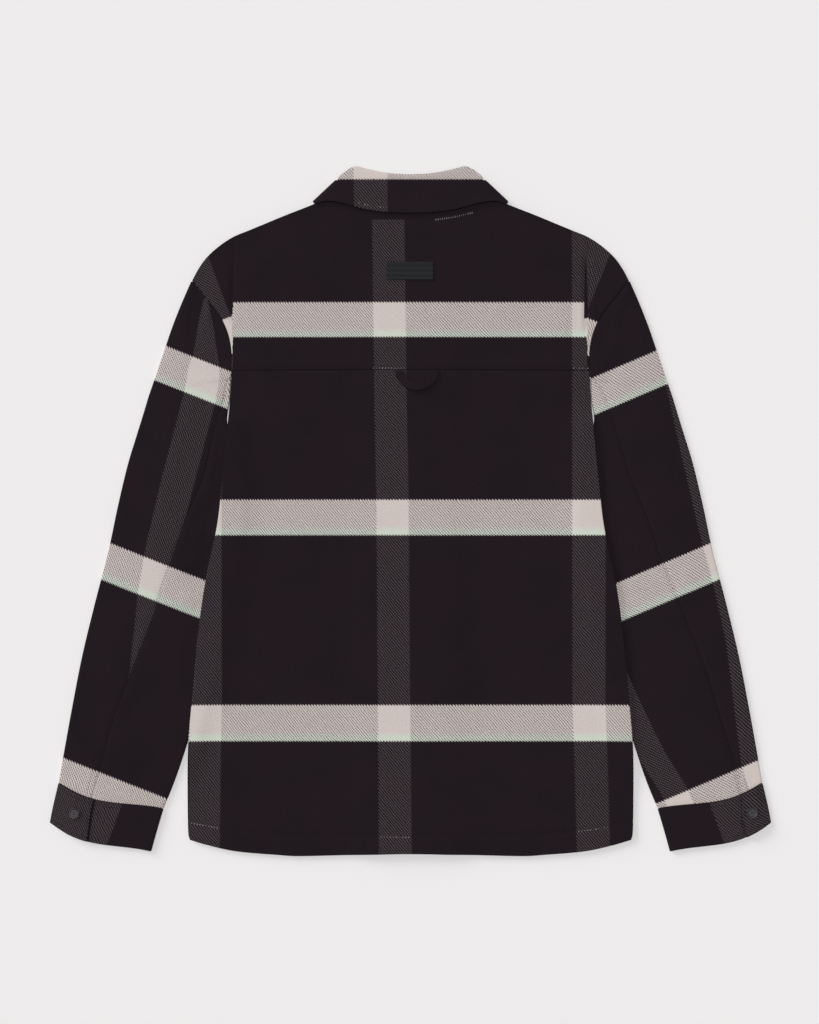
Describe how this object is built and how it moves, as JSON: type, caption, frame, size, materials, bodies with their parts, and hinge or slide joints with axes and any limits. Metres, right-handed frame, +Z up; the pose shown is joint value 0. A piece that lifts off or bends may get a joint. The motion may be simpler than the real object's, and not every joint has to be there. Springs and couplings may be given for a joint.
{
  "type": "shacket",
  "caption": "Check overshirt laid flat with its back up: yoke, back panel, fronts, two-piece sleeves beside the body, buttoned cuffs, collar, hanging loop and bare label.",
  "frame": {"origin": "middle of the laid garment's outline, on the surface it lies on", "axes": "+Z up from the surface through the back, +Y towards the collar, +X towards the wearer's right sleeve"},
  "size_m": [0.8148, 0.7782, 0.0128],
  "materials": {
    "check_twill": "brushed twill with a large pale check, matt",
    "label_tape": "plain woven tape, slight sheen",
    "button": "horn-look polyester, satin"
  },
  "bodies": {
    "root": {"back_yoke": "check_twill", "back_panel": "check_twill", "front_left": "check_twill", "front_right": "check_twill", "front_band": "check_twill", "sleeve_left_outer": "check_twill", "sleeve_left_inner": "check_twill", "sleeve_right_outer": "check_twill", "sleeve_right_inner": "check_twill", "cuff_left": "check_twill", "cuff_right": "check_twill", "collar_fall": "check_twill", "collar_stand": "check_twill", "hanging_loop": "check_twill", "label": "label_tape", "cuff_button_left": "button", "cuff_button_right": "button", "front_button_1": "button", "front_button_2": "button", "front_button_3": "button", "front_button_4": "button", "front_button_5": "button", "front_button_6": "button"}
  },
  "joints": []
}
